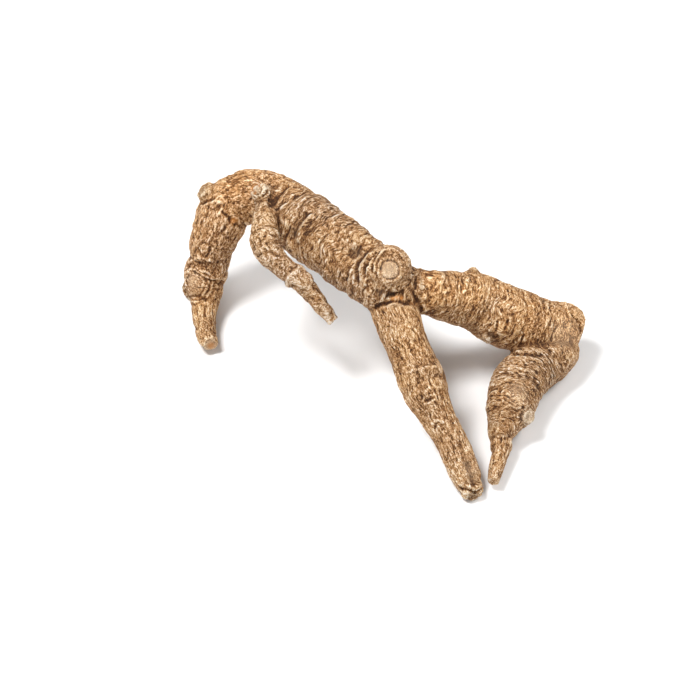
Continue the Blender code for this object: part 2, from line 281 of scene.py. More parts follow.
bpy.ops.object.select_all(action="DESELECT")
for tube in tubes:
    tube.select_set(True)
bpy.context.view_layer.objects.active = tubes[0]
bpy.ops.object.join()
root = bpy.context.object
root.name = "dried_root"
root.data.name = "dried_root"
fuse = root.modifiers.new("fuse", "REMESH")
fuse.mode = "VOXEL"
fuse.voxel_size = VOXEL * MM
bpy.ops.object.modifier_apply(modifier="fuse")
print("points in the skin:", len(root.data.vertices))


# %% Helpers that read and write the skin's points
def get_points(mesh):
    """The mesh's points, in millimetres."""
    flat = np.empty(len(mesh.vertices) * 3)
    mesh.vertices.foreach_get("co", flat)
    return flat.reshape(-1, 3) / MM


def get_normals(mesh):
    """The directions that the mesh's points face."""
    flat = np.empty(len(mesh.vertices) * 3)
    mesh.vertices.foreach_get("normal", flat)
    return flat.reshape(-1, 3)


def set_points(mesh, points):
    """Write the mesh's points, in millimetres."""
    mesh.vertices.foreach_set("co", (points * MM).ravel())
    mesh.update()


# %% Helpers that place points on the limbs
POINTS_AT_ONCE = 20000


def nearest_stop(points, limb):
    """For each point, the index of the nearest place along a limb's path."""
    lengths = (limb.centres ** 2).sum(axis=1)
    parts = np.array_split(points, len(points) // POINTS_AT_ONCE + 1)
    return np.concatenate([(lengths - 2 * part @ limb.centres.T).argmin(axis=1) for part in parts])


def place_on_limb(points, limb):
    """Where points lie on a limb: along it, to its side, up, and how far out in radii of the limb."""
    nearest = nearest_stop(points, limb)
    offsets = points - limb.centres[nearest]
    along = limb.stops[nearest] + (offsets * limb.along[nearest]).sum(axis=1)
    side = (offsets * limb.side[nearest]).sum(axis=1)
    up = (offsets * limb.up[nearest]).sum(axis=1)
    out = np.linalg.norm(offsets, axis=1) / limb.radii[nearest]
    return np.stack([along, side, up], axis=1), out


print("highest point:", round(get_points(root.data)[:, 2].max(), 1), "mm")

# %% [markdown]
# ## Softening the joins
# Where a limb grows from the torso, the living root swells into it, and there is no seam. So the skin is
# smoothed a little everywhere, which takes the steps of the voxels away, and much more where two limbs are
# equally near. A vertex group tells the Smooth modifier where to work, so stubs and tips keep their edges.

# %% Soften the joins
JOIN_REACH = 0.25
JOIN_PASSES = 100
SKIN_PASSES = 8
NEAR_A_JOIN = 0.3

points = get_points(root.data)
reach = np.sort([place_on_limb(points, limb)[1] for limb in limbs], axis=0)
join_weights = np.exp(-(reach[1] - reach[0]) / JOIN_REACH)
group = root.vertex_groups.new(name="joins")
for index, weight in enumerate(join_weights):
    group.add([index], float(weight), "REPLACE")
soften = root.modifiers.new("soften", "SMOOTH")
soften.vertex_group = "joins"
soften.iterations = JOIN_PASSES
bpy.ops.object.modifier_apply(modifier="soften")
smooth = root.modifiers.new("smooth", "SMOOTH")
smooth.iterations = SKIN_PASSES
bpy.ops.object.modifier_apply(modifier="smooth")
root.vertex_groups.clear()
print("share of the skin near a join:", round(float((join_weights > NEAR_A_JOIN).mean()), 2))

# %% [markdown]
# ## Raising the bark
# Drying shrinks the flesh more than the bark, so the bark wrinkles: in rings around the torso and arms, and
# in a long net down the leg. Three patterns make those shapes, each from a noise that is stretched along or
# around the limb. Folds are wide ridges between sharp furrows. Pads are the cells of a net. Crests are thin
# wandering ridges with wide hollows between them, as on cloth that has been pulled together. A Displace
# modifier could raise them, but it stretches its texture one way over the whole body. Here each limb has its
# own directions, and the heights are blended where limbs meet.

# %% Wrinkle patterns
# How far the noise rises from the bottom of a furrow to a ridge, or falls from a crest to a hollow.
FOLD_RISE = 0.35
CREST_FALL = 0.3
PAD_RISE = 0.4


def folds(spots):
    """Rounded ridges with long wandering furrows between them: 0 in a furrow, 1 on a ridge."""
    heights = np.array([noise.noise(Vector(spot)) for spot in spots])
    return np.clip(np.abs(heights) / FOLD_RISE, 0.0, 1.0)


def crests(spots):
    """Thin wandering ridges with wide hollows between them: 0 in a hollow, 1 on a ridge."""
    heights = np.array([noise.noise(Vector(spot)) for spot in spots])
    return np.clip(1.0 - np.abs(heights) / CREST_FALL, 0.0, 1.0)


def pads(spots):
    """Rounded pads in a net of furrows: 0 in a furrow, 1 on a pad."""
    near = np.array([noise.voronoi(Vector(spot))[0][:2] for spot in spots])
    return np.clip((near[:, 1] - near[:, 0]) / PAD_RISE, 0.0, 1.0)


PATTERNS = {"fold": folds, "crest": crests, "pad": pads}
Layer = namedtuple("Layer", "kind length_along length_around depth")
print("wrinkle patterns:", ", ".join(PATTERNS))

# %% Large folds
# Each layer: its pattern, the length of one wrinkle along and around the limb, and its depth.
LARGE_FOLDS = {
    "torso": [Layer("fold", 9.0, 24.0, 0.55), Layer("fold", 3.6, 11.0, 0.4)],
    "upper_arm": [Layer("fold", 10.0, 20.0, 0.4), Layer("fold", 4.2, 12.0, 0.26)],
    "forearm": [Layer("fold", 9.0, 24.0, 0.45), Layer("fold", 3.6, 11.0, 0.3)],
    "left_arm": [Layer("fold", 11.0, 14.0, 0.5), Layer("fold", 4.4, 3.6, 0.3)],
    "small_arm": [Layer("fold", 5.0, 6.0, 0.3), Layer("fold", 7.0, 2.6, 0.25)],
    "leg": [Layer("fold", 13.0, 10.0, 0.25), Layer("fold", 9.0, 3.4, 0.22)],
    "leg_lip": [Layer("fold", 5.0, 6.0, 0.35), Layer("fold", 7.0, 2.6, 0.3)],
    "forearm_tip": [Layer("fold", 9.0, 2.6, 0.2)],
    "left_tip": [Layer("fold", 9.0, 3.0, 0.35)],
}
PLAIN_FOLDS = [Layer("fold", 4.0, 4.0, 0.25)]
print("limbs with large folds of their own:", len(LARGE_FOLDS))

# %% Fine wrinkles, which lie over the folds
FINE_WRINKLES = {
    "torso": [
        Layer("pad", 1.9, 3.6, 0.17),
        Layer("crest", 1.0, 4.0, 0.12),
        Layer("crest", 0.8, 2.6, 0.08),
    ],
    "upper_arm": [
        Layer("pad", 2.0, 3.0, 0.14),
        Layer("crest", 1.0, 3.6, 0.1),
        Layer("crest", 0.8, 2.6, 0.07),
    ],
    "forearm": [
        Layer("pad", 1.9, 4.5, 0.16),
        Layer("crest", 0.95, 5.0, 0.14),
        Layer("crest", 0.8, 3.0, 0.08),
    ],
    "left_arm": [
        Layer("pad", 2.6, 2.0, 0.17),
        Layer("crest", 2.2, 1.1, 0.16),
        Layer("crest", 1.5, 0.8, 0.08),
    ],
    "small_arm": [
        Layer("pad", 2.2, 2.0, 0.15),
        Layer("crest", 1.1, 1.6, 0.12),
        Layer("crest", 0.8, 1.3, 0.06),
    ],
    "leg": [
        Layer("pad", 4.2, 1.6, 0.14),
        Layer("crest", 3.4, 1.2, 0.11),
        Layer("crest", 2.2, 0.8, 0.06),
    ],
    "leg_lip": [
        Layer("pad", 4.0, 1.6, 0.2),
        Layer("crest", 3.0, 1.0, 0.18),
    ],
    "forearm_tip": [
        Layer("crest", 4.5, 1.2, 0.1),
        Layer("crest", 2.8, 0.8, 0.07),
    ],
    "left_tip": [
        Layer("crest", 3.5, 1.4, 0.14),
        Layer("crest", 2.4, 0.8, 0.09),
    ],
}
PLAIN_WRINKLES = [
    Layer("pad", 2.0, 2.0, 0.18),
    Layer("crest", 1.1, 1.1, 0.16),
    Layer("crest", 0.7, 0.7, 0.08),
]
print("finest wrinkle:", min(layer.length_along for layer in PLAIN_WRINKLES), "mm")

# %% Collars
# Ring-shaped swellings: the limb, how far along it, height, and width.
COLLARS = [
    ("leg", 29.0, 0.35, 1.6),
    ("leg", 34.0, 0.3, 1.4),
    ("forearm_tip", 7.6, 0.35, 0.7),
    ("forearm", 35.0, 0.5, 2.0),
    ("left_arm", 51.5, 0.6, 1.8),
    ("left_tip", 2.0, 0.3, 1.2),
    ("small_arm", 31.5, 0.6, 1.2),
    ("small_arm", 17.0, 0.4, 1.5),
    ("upper_arm", 9.5, 0.5, 1.4),
    ("shoulder_knob", 4.5, 0.5, 0.8),
]
print("collars:", len(COLLARS))

# %% Bark along one limb
# How far rings sway along the limb, and over what length.
SWAYS = [(1.8, 7.0), (0.9, 2.8)]
# Each layer reads the noise a step further on, so that no two layers are alike.
LAYER_STEP = 5.3


def sway(places):
    """Places on a limb, moved a little along it, so that its rings don't run straight around."""
    swayed = places.copy()
    for amount, length in SWAYS:
        swayed[:, 0] += [amount * noise.noise(Vector(place) / length) for place in places]
    return swayed


def stretch(places, layer):
    """Places on a limb, scaled so that one wrinkle of a layer is about one unit long."""
    return places / (layer.length_along, layer.length_around, layer.length_around)


def bark_height(places, layers, start):
    """Height of a limb's wrinkles above its smooth skin, half of it above and half below."""
    height = np.zeros(len(places))
    for number, layer in enumerate(layers):
        spots = stretch(places, layer) + start + LAYER_STEP * number
        height += layer.depth * (PATTERNS[layer.kind](spots) - 0.5)
    return height


def collar_height(limb, places):
    """Height of a limb's ring-shaped swellings."""
    height = np.zeros(len(places))
    for name, where, rise, width in COLLARS:
        if name == limb.name:
            height += rise * np.exp(-((places[:, 0] - where) / width) ** 2)
    return height


# %% Blend the limbs' bark where they meet
BARK_BLEND = 0.08
LEAST_SHARE = 0.01
# Each limb reads the noise this much further on, so that no two limbs are alike.
LIMB_STEP = 13.7
Patch = namedtuple("Patch", "limb order near places share")


def share_out(points):
    """For each limb, which points it covers, where they lie on it, and its share of the bark there."""
    placed = [place_on_limb(points, limb) for limb in limbs]
    nearest = np.min([out for _, out in placed], axis=0)
    weights = np.array([np.exp(-(out - nearest) / BARK_BLEND) for _, out in placed])
    weights[weights < LEAST_SHARE] = 0.0
    weights /= weights.sum(axis=0)
    patches = []
    for order, limb in enumerate(limbs):
        near = weights[order] > 0
        patches.append(Patch(limb, order, near, sway(placed[order][0][near]), weights[order][near]))
    return patches


def blend_bark(patches, count, layer_sets, plain_layers, start, with_collars):
    """Height of one set of wrinkle layers at every point."""
    height = np.zeros(count)
    for patch in patches:
        layers = layer_sets.get(patch.limb.name, plain_layers)
        rise = bark_height(patch.places, layers, start + LIMB_STEP * patch.order)
        if with_collars:
            rise += collar_height(patch.limb, patch.places)
        height[patch.near] += patch.share * rise
    return height


# %% [markdown]
# ## Marks that this root has
# Besides its wrinkles, the root has marks of its own: the round scar where the stem stood, cracks beside
# the joins, pits, raised edges, and ripples around each stub. They are placed as seen from above its front,
# because that is the side they are on, and a ray finds the point of the skin under each of them. They
# could be modelled as pieces of their own, but on the real root they are the same skin.

# %% Places that several marks share
# All places are across and up in the marks' view, in millimetres.
SCAR = (2.3, 33.2)
STUB = (44.6, -11.6)
FOREARM_PATCH = (41.4, -4.5)
FOOT_BULGE = (-59.6, 31.2)
NECK_RING = (12.2, 28.2)
KNOB_COIL = [(-38.3, 60.4), (-39.4, 60.7), (-40.3, 60.0), (-40.4, 58.9), (-39.5, 58.2)]
BEADS = [(38.4, -0.2), (41.0, 1.0), (43.5, 1.0), (46.0, 0.3), (47.6, -0.9)]
RING_CORNERS = 25


def ring(centre, radius):
    """Corners of a ring around a place."""
    turns = np.linspace(0.0, 2 * math.pi, RING_CORNERS)
    return [(centre[0] + radius * math.cos(turn), centre[1] + radius * math.sin(turn)) for turn in turns]


print("beads in a row:", len(BEADS))

# %% Grooves and raised edges
# Each line: height (below zero for a groove), width, and its corners.
LINES = {
    "shoulder groove": (-1.5, 1.2, [(-34.5, 54.3), (-32.3, 57.4), (-29.6, 60.9)]),
    "under hip": (-0.9, 0.6, [(-2.2, 21.6), (-0.6, 22.8), (1.2, 23.1), (3.1, 23.9), (5.2, 23.8),
                              (7.0, 23.1), (8.9, 23.5)]),
    "hip hollow": (-0.5, 1.3, [(-1.4, 26.4), (1.2, 26.6), (3.4, 25.9)]),
    "scar rim": (0.5, 0.45, [(-2.3, 33.0), (-2.2, 34.9), (-1.3, 37.3), (0.4, 39.2), (2.7, 39.8),
                             (4.7, 38.9), (6.4, 36.8)]),
    "rim groove": (-0.6, 0.4, [(-3.1, 32.6), (-3.1, 34.6), (-2.4, 37.0), (-1.1, 38.7)]),
    "inner rim": (0.3, 0.35, [(-1.0, 30.7), (-1.4, 32.8), (-0.5, 35.6)]),
    "scar creases": (0.3, 0.35, [(0.7, 29.3), (1.9, 27.9), (2.9, 29.1)]),
    "elbow groove": (-0.5, 0.4, [(53.9, 17.9), (53.5, 16.6), (54.4, 16.1), (52.9, 13.7), (52.4, 12.0)]),
    "elbow foot": (-0.6, 0.6, [(52.4, 8.7)]),
    "arm pit": (-0.45, 0.4, [(-50.1, 52.5), (-48.0, 50.9), (-47.4, 49.0)]),
    "pit fold": (-0.5, 0.6, [(-46.6, 48.8), (-44.0, 47.8)]),
    "pit crest": (0.4, 0.45, [(-46.6, 51.4), (-45.2, 50.8), (-44.9, 49.6)]),
    "stub groove": (-0.8, 0.6, [(-57.1, 55.3), (-55.5, 55.7), (-52.7, 57.1)]),
    "stub crest": (0.4, 0.5, [(-54.7, 54.9), (-52.3, 55.8), (-49.1, 55.4)]),
    "skin flap": (-0.5, 0.7, [(59.7, 19.8), (62.2, 17.3), (62.8, 13.3)]),
    "torso dimple": (-2.2, 2.3, [(-5.8, 40.8), (-7.7, 39.5), (-9.8, 38.6)]),
    "leg trough": (-0.7, 1.5, [(23.4, -19.1), (24.9, -23.0), (27.2, -28.2), (27.8, -31.0)]),
    "trough foot": (-0.9, 2.0, [(26.4, -26.5), (27.3, -30.0)]),
    "leg end": (-0.8, 0.5, [(23.2, -32.5), (25.6, -33.1), (27.6, -33.8), (29.8, -32.8)]),
    "neck": (-0.8, 1.1, [(10.7, 30.4), (9.7, 26.9), (10.9, 23.9)]),
    "scar face": (-0.3, 1.6, [SCAR]),
    "hip fold": (-1.0, 0.9, [(-7.3, 29.8), (-8.0, 33.8), (-6.3, 37.8), (-3.4, 40.9)]),
    "leg eye": (-0.35, 0.4, [(13.0, -6.6), (14.2, -6.0), (15.4, -5.4)]),
    "eye rim": (0.35, 0.35, [(12.3, -6.5), (12.5, -5.5), (13.7, -4.8), (16.0, -4.5), (15.9, -5.7),
                             (14.4, -7.0), (12.8, -7.4)]),
    "shoulder crest": (0.6, 0.7, [(-27.6, 57.0), (-28.5, 55.4), (-31.0, 53.1)]),
    "ring crest": (0.9, 0.9, [(-21.9, 50.4), (-24.3, 47.2), (-25.6, 43.0)]),
    "ring hollow": (-1.3, 1.6, [(-24.0, 51.0), (-26.5, 47.9), (-28.4, 43.7)]),
    "patch top": (0.5, 0.7, [(-15.0, 49.3), (-12.3, 51.1), (-9.2, 48.8)]),
    "patch edge": (-0.5, 0.5, [(-13.5, 47.4), (-11.0, 47.4), (-8.9, 48.1)]),
    "torso crest": (0.4, 0.5, [(-11.0, 43.9), (-8.6, 45.5)]),
    "first scar crest": (0.8, 0.7, [(-3.7, 38.2), (-6.4, 35.2), (-6.8, 32.4)]),
    "first scar groove": (-1.1, 0.6, [(-2.2, 38.7), (-4.3, 36.3), (-5.2, 34.0), (-5.0, 31.5)]),
    "second scar crest": (0.7, 0.5, [(-3.1, 35.4), (-4.3, 33.3), (-4.8, 31.3), (-5.0, 29.1)]),
    "low torso crest": (0.5, 0.6, [(-8.6, 34.6), (-9.8, 32.4)]),
    "pit": (-0.6, 0.8, [(-47.8, 50.4), (-47.3, 49.6)]),
    "first arm arc": (0.5, 0.6, [(-61.3, 37.1), (-57.5, 38.6), (-53.7, 37.5)]),
    "second arm arc": (0.5, 0.6, [(-62.0, 33.6), (-58.9, 35.1), (-54.8, 33.8)]),
    "overhang": (-0.6, 0.7, [(-63.6, 28.0), (-61.2, 25.7), (-58.1, 26.2), (-56.1, 25.3)]),
    "tip hollow": (-0.6, 0.6, [(-55.7, 22.9), (-55.9, 20.0)]),
    "knob collar": (0.5, 0.5, [(-37.3, 60.2), (-35.6, 58.5), (-35.4, 56.6), (-36.6, 55.7)]),
    "knob flap": (0.35, 0.5, [(-36.9, 54.3), (-35.4, 54.5), (-34.3, 55.3)]),
    "knob slit": (-0.4, 0.4, [(-37.0, 55.2), (-35.2, 55.8)]),
    "small arm arc": (0.15, 0.6, [(-38.7, 39.7), (-36.9, 40.6), (-31.6, 39.4)]),
    "small arm neck": (-0.5, 0.7, [(-38.2, 37.9), (-35.6, 39.0), (-31.0, 37.8)]),
    "neck bump": (0.8, 1.0, [(13.1, 25.1)]),
    "neck ridge": (0.6, 0.8, [(8.6, 31.5), (9.4, 28.4), (11.2, 25.0), (13.5, 21.8)]),
    "arm crest": (0.6, 0.7, [(26.4, 30.8), (25.8, 29.2), (25.2, 27.0)]),
    "neck crest": (0.5, 0.6, [(18.4, 22.7), (19.3, 26.5), (20.5, 27.6)]),
    "first slit": (-0.45, 0.35, [(41.0, 16.6), (40.2, 13.9)]),
    "second slit": (-0.45, 0.35, [(38.8, 18.1), (37.9, 15.4)]),
    "third slit": (-0.45, 0.35, [(35.7, 17.5), (35.2, 14.8)]),
    "nub pad": (0.6, 1.0, [(36.4, 15.1)]),
    "nub pits": (-0.4, 0.6, [(33.1, 13.5), (35.0, 12.9)]),
    "first elbow arc": (0.5, 0.6, [(51.2, 23.2), (51.8, 19.8), (50.9, 16.7)]),
    "second elbow arc": (0.5, 0.6, [(57.4, 23.6), (58.6, 19.4), (58.2, 15.2)]),
    "stub face": (-0.25, 1.2, [STUB]),
    "foot bulge": (0.9, 2.8, [FOOT_BULGE]),
    "stub slit": (-0.6, 0.45, [(41.2, -9.5), (43.1, -8.7)]),
    "stub edge": (-0.5, 0.4, [(42.5, -9.9), (41.9, -11.2), (42.6, -12.8)]),
    "tip neck": (-0.3, 0.45, [(33.5, -17.4), (36.6, -18.2), (39.3, -17.2)]),
    "forearm joint": (-1.1, 0.9, [(38.5, 8.2), (41.2, 7.9), (44.2, 8.0), (49.0, 7.4)]),
    "forearm slit": (-0.4, 0.5, [(33.9, -15.4), (33.3, -16.3)]),
    "first leg collar": (0.5, 0.5, [(7.7, 2.0), (9.6, 2.9), (11.7, 3.0), (12.9, 3.6), (15.9, 3.8)]),
    "second leg collar": (0.3, 0.5, [(13.5, -3.2), (15.1, -1.9), (17.7, -2.6)]),
    "leg ridge": (0.6, 0.5, [(15.1, -13.4), (16.6, -12.2), (18.2, -12.8)]),
    "leg lip edge": (0.5, 0.45, [(23.4, -31.3), (25.4, -31.8), (27.3, -32.4), (29.0, -31.6), (30.7, -30.5)]),
    "scar ring": (-0.4, 0.35, ring(SCAR, 2.9)),
    "stub ring": (-0.3, 0.35, ring(STUB, 2.2)),
    **{f"bead {number}": (0.55, 0.7, [bead]) for number, bead in enumerate(BEADS)},
    "knob coil": (-0.45, 0.35, KNOB_COIL),
}
print("lines:", len(LINES))

# %% Ripples
# Each set of ripples: centre, first and last distance from it, spacing, and depth.
RIPPLES = {
    "hip scar": (*SCAR, 2.9, 4.4, 1.4, 0.24),
    "forearm": (*FOREARM_PATCH, 1.8, 6.4, 1.2, 0.1),
    "forearm spiral": (36.7, -11.1, 0.4, 2.6, 1.2, 0.08),
    "foot": (-59.6, 30.0, 2.6, 7.5, 1.3, 0.2),
    "knob": (-38.8, 59.3, 1.7, 4.6, 1.2, 0.28),
    "neck ring": (*NECK_RING, 0.7, 2.0, 1.2, 0.25),
}
print("sets of ripples:", len(RIPPLES))

# %% Round places where the bark is different, and hollows where shade is painted
# Cut or broken faces, smooth and pale: centre and radius.
FACES = {
    "hip scar": (*SCAR, 2.8),
    "forearm stub": (*STUB, 2.3),
    "knob": (-39.2, 59.4, 1.7),
    "left tip": (-54.1, 10.3, 2.2),
    "neck ring": (*NECK_RING, 0.8),
}
# Where the flesh shows orange: centre and radius.
STAINS = {
    "pit": (-46.3, 50.0, 1.2),
    "left tip": (-53.9, 10.3, 1.3),
    "hip band": (3.2, 24.7, 0.6),
    "hip middle": (4.5, 24.9, 0.6),
    "hip end": (5.8, 24.8, 0.6),
    **{f"knob coil {number}": (*place, 0.55) for number, place in enumerate(KNOB_COIL)},
}
# Where shade falls in the hollows, painted into the colour as a dark brown: centre and radius.
PAINTED_SHADE = {
    "torso dimple": (-7.7, 39.8, 2.4),
    "ring hollow": (-27.3, 45.5, 2.2),
    "trough": (25.6, -24.9, 1.5),
    "trough foot": (27.1, -28.9, 2.1),
    "leg lip": (27.0, -34.6, 1.8),
    "hip hollow": (-0.6, 26.4, 1.6),
    "hip hollow end": (2.2, 26.2, 1.4),
    "pit": (-47.8, 50.4, 0.7),
    "nub": (33.6, 13.4, 1.3),
}
# Where the bark is stretched smooth: centre and radius.
CALM = {
    "forearm patch": (*FOREARM_PATCH, 3.6),
    "foot bulge": (*FOOT_BULGE, 2.8),
    "trough": (26.5, -27.0, 3.0),
    # Paler too: partly smooth, pale bark, partly painted light on the lit elbow.
    "elbow": (57.5, 14.0, 5.5),
    "hip scar": (*SCAR, 3.4),
}
print("round places:", len(FACES) + len(STAINS) + len(PAINTED_SHADE) + len(CALM))

# %% Find the marks on the skin
MARKS_SEEN_FROM = math.radians(43.3)
VIEWER_DISTANCE = 300.0
RUN_STEP = 0.4


def find_on_skin(tree, places):
    """The points of the skin, in millimetres, that are seen at places in the marks' view."""
    forward = Vector((0.0, math.cos(MARKS_SEEN_FROM), -math.sin(MARKS_SEEN_FROM)))
    upward = Vector((0.0, math.sin(MARKS_SEEN_FROM), math.cos(MARKS_SEEN_FROM)))
    spots = []
    for across, up in places:
        start = Vector((across * MM, 0.0, 0.0)) + upward * up * MM - forward * VIEWER_DISTANCE * MM
        spot = tree.ray_cast(start, forward)[0]
        if spot:
            spots.append(np.array(spot) / MM)
    return np.array(spots)


def run_through(corners):
    """Places a short step apart along straight runs from corner to corner."""
    places = [corners[0]]
    for start, stop in zip(corners, corners[1:]):
        count = max(1, round(math.dist(start, stop) / RUN_STEP))
        for part in np.linspace(0.0, 1.0, count + 1)[1:]:
            across = start[0] + (stop[0] - start[0]) * part
            places.append((across, start[1] + (stop[1] - start[1]) * part))
    return places


def distance_to(points, spots):
    """Distance from each point to the nearest of the spots."""
    return np.min([np.linalg.norm(points - spot, axis=1) for spot in spots], axis=0)


def near_spots(points, spots, reach):
    """Which points lie in the box around the spots, widened by a reach."""
    above = (points > spots.min(axis=0) - reach).all(axis=1)
    below = (points < spots.max(axis=0) + reach).all(axis=1)
    return above & below


print("the marks are seen from", round(math.degrees(MARKS_SEEN_FROM), 1), "degrees above the front")

# %% Height of the marks
# A line is felt as far as this many of its widths.
LINE_REACH = 3
# The ripples wobble over this length, and by this much.
RIPPLE_WOBBLE = 2.5
RIPPLE_SWAY = 0.6
# Vector noise starts from a random place, which this seed holds the same in every run.
RIPPLE_SEED = 7
# The ripples' strength wanders around a mean, and has a highest value.
RIPPLE_MEAN = 0.7
RIPPLE_SPREAD = 1.3
RIPPLE_MOST = 1.2
# The higher this is, the sharper the edge of a round place.
EDGE_SHARPNESS = 4


def mark_height(points, tree):
    """Height that the lines and ripples add at each point."""
    height = np.zeros(len(points))
    for rise, width, corners in LINES.values():
        spots = find_on_skin(tree, run_through(corners))
        near = near_spots(points, spots, LINE_REACH * width)
        height[near] += rise * np.exp(-(distance_to(points[near], spots) / width) ** 2)
    noise.seed_set(RIPPLE_SEED)
    for across, up, first, last, spacing, depth in RIPPLES.values():
        spots = find_on_skin(tree, [(across, up)])
        near = near_spots(points, spots, last)
        wobble = np.array([noise.noise_vector(Vector(point) / RIPPLE_WOBBLE) for point in points[near]])
        distance = distance_to(points[near], spots) + RIPPLE_SWAY * wobble[:, 0]
        fade = np.clip((last - distance) / spacing, 0.0, 1.0) * (distance > first)
        fade *= np.clip(RIPPLE_MEAN + RIPPLE_SPREAD * wobble[:, 1], 0.0, RIPPLE_MOST)
        height[near] -= depth * fade * np.cos(2 * math.pi * (distance - first) / spacing)
    return height


def cover(points, tree, spots_and_sizes):
    """How far each point lies inside round spots on the skin: 1 inside, 0 well outside."""
    amount = np.zeros(len(points))
    for across, up, radius in spots_and_sizes.values():
        distance = distance_to(points, find_on_skin(tree, [(across, up)]))
        amount = np.maximum(amount, np.exp(-(distance / radius) ** EDGE_SHARPNESS))
    return amount


# %% Find which limb and which marks each point belongs to
mesh = root.data
corners = [vertex.co for vertex in mesh.vertices]
skin_tree = BVHTree.FromPolygons(corners, [polygon.vertices for polygon in mesh.polygons])
smooth_points = get_points(mesh)
count = len(smooth_points)
patches = share_out(smooth_points)
face = cover(smooth_points, skin_tree, FACES)
stain = cover(smooth_points, skin_tree, STAINS)
# How far each point lies in a hollow where shade is painted.
painted_shade = cover(smooth_points, skin_tree, PAINTED_SHADE)
calm = cover(smooth_points, skin_tree, CALM)
print("share of the skin that is calm:", round(float(calm.mean()), 3))

# %% Raise the folds and marks, then the wrinkles
FOLD_START = 0.0
WRINKLE_START = 61.0
# How much of its folds or wrinkles a calm place or a cut face loses.
CALM_FOLDS = 0.7
CALM_WRINKLES = 0.4
FACE_WRINKLES = 0.4


def raise_skin(mesh, height):
    """Move the points of the skin out by a height, but never below the surface it lies on."""
    points = get_points(mesh) + get_normals(mesh) * height[:, None]
    points[:, 2] = np.maximum(points[:, 2], 0.0)
    set_points(mesh, points)


fold_height = blend_bark(patches, count, LARGE_FOLDS, PLAIN_FOLDS, FOLD_START, True)
fold_height = fold_height * (1 - face) * (1 - CALM_FOLDS * calm)
wrinkle_height = blend_bark(patches, count, FINE_WRINKLES, PLAIN_WRINKLES, WRINKLE_START, False)
wrinkle_height = wrinkle_height * (1 - FACE_WRINKLES * face) * (1 - CALM_WRINKLES * calm)
raise_skin(mesh, fold_height + mark_height(smooth_points, skin_tree))
raise_skin(mesh, wrinkle_height)
print("points raised:", count)

# %% [markdown]
# ## What the finish needs to know
# Dust and light bleach the crests and dirt stays in the furrows, and the colour also carries painted shade
# in the furrows and a painted highlight on the crests, so the colour has to follow the relief.
# The relief is measured: each point is compared with the mean of its neighbours, over a short and a long
# reach, and how far it lies below that mean says how deep in a furrow it is. The Geometry node's Pointiness
# could do this in the material, but it has only one reach. Each number is kept on the points instead, where
# the finish can read it.


# %% Measure the furrows
def neighbour_means(points, edges):
    """The mean place of each point's neighbours."""
    starts = np.concatenate([edges[:, 0], edges[:, 1]])
    stops = np.concatenate([edges[:, 1], edges[:, 0]])
    counts = np.bincount(starts, minlength=len(points))
    sums = [np.bincount(starts, weights=points[stops, axis], minlength=len(points)) for axis in range(3)]
    return np.stack(sums, axis=1) / counts[:, None]


def depth_below(mesh, passes):
    """How far each point lies below the skin smoothed a number of times, in millimetres."""
    flat = np.empty(len(mesh.edges) * 2, dtype=np.int32)
    mesh.edges.foreach_get("vertices", flat)
    points = get_points(mesh)
    smoothed = points
    for _ in range(passes):
        smoothed = (smoothed + neighbour_means(smoothed, flat.reshape(-1, 2))) / 2
    return ((smoothed - points) * get_normals(mesh)).sum(axis=1)


# %% How deep in a furrow each point lies, from -1 on a crest to 1 in a furrow
FINE_PASSES = 6
BROAD_PASSES = 60
# The depths in millimetres that count as fully in a furrow, over the short and the long reach.
FULL_FINE_DEPTH = 0.07
FULL_BROAD_DEPTH = 0.35
CALM_FURROWS = 0.6

fine_depth = depth_below(mesh, FINE_PASSES)
broad_depth = depth_below(mesh, BROAD_PASSES)
fine_part = np.clip(fine_depth / FULL_FINE_DEPTH, -1.0, 1.0)
broad_part = np.clip(broad_depth / FULL_BROAD_DEPTH, -1.0, 1.0)
# The colour darkens with this in furrows, for dirt and painted shade, and pales on crests, for bleached bark
# and a painted highlight.
furrow = (fine_part + broad_part) / 2
furrow *= 1 - CALM_FURROWS * calm
print("deepest furrow:", round(float(broad_depth.max()), 2), "mm")

# %% Keep the numbers on the points
# A calm place is as pale as this share of a cut face.
CALM_PALENESS = 0.35
# What the bark's colour is multiplied by on each limb: its own tone, and on the forearm, its tip and the
# elbow also painted shade and light.
LIMB_TONES_AND_PAINTED_LIGHT = {
    "torso": (0.82, 0.81, 0.81),
    "upper_arm": (0.99, 0.95, 0.88),
    # Darker: partly a greyer tone, partly painted shade under the elbow.
    "forearm": (0.83, 0.82, 0.81),
    "left_arm": (1.06, 1.01, 0.95),
    # Paler: partly its own pale tone, partly painted light on the lit elbow.
    "elbow_flap": (1.16, 1.12, 1.06),
    "hip_scar": (0.97, 0.97, 0.98),
    "small_arm": (0.86, 0.86, 0.87),
    "leg": (0.92, 0.90, 0.86),
    # Darker: partly a greyer tone, partly painted shade on the low tip.
    "forearm_tip": (0.83, 0.81, 0.79),
    "left_tip": (0.99, 0.96, 0.90),
}
PLAIN_TINT = (0.86, 0.85, 0.82)


def store_number(name, values):
    """Keep one number for each point of the skin."""
    kept = root.data.attributes.new(name, "FLOAT", "POINT")
    kept.data.foreach_set("value", values.astype(np.float32))


def store_vector(name, rows):
    """Keep three numbers for each point of the skin."""
    kept = root.data.attributes.new(name, "FLOAT_VECTOR", "POINT")
    kept.data.foreach_set("vector", rows.astype(np.float32).ravel())


def spread_tints(patches, count):
    """The tint at each point, blended where limbs meet."""
    tint = np.zeros((count, 3))
    for patch in patches:
        tint[patch.near] += patch.share[:, None] * np.array(LIMB_TONES_AND_PAINTED_LIGHT.get(patch.limb.name, PLAIN_TINT))
    return tint


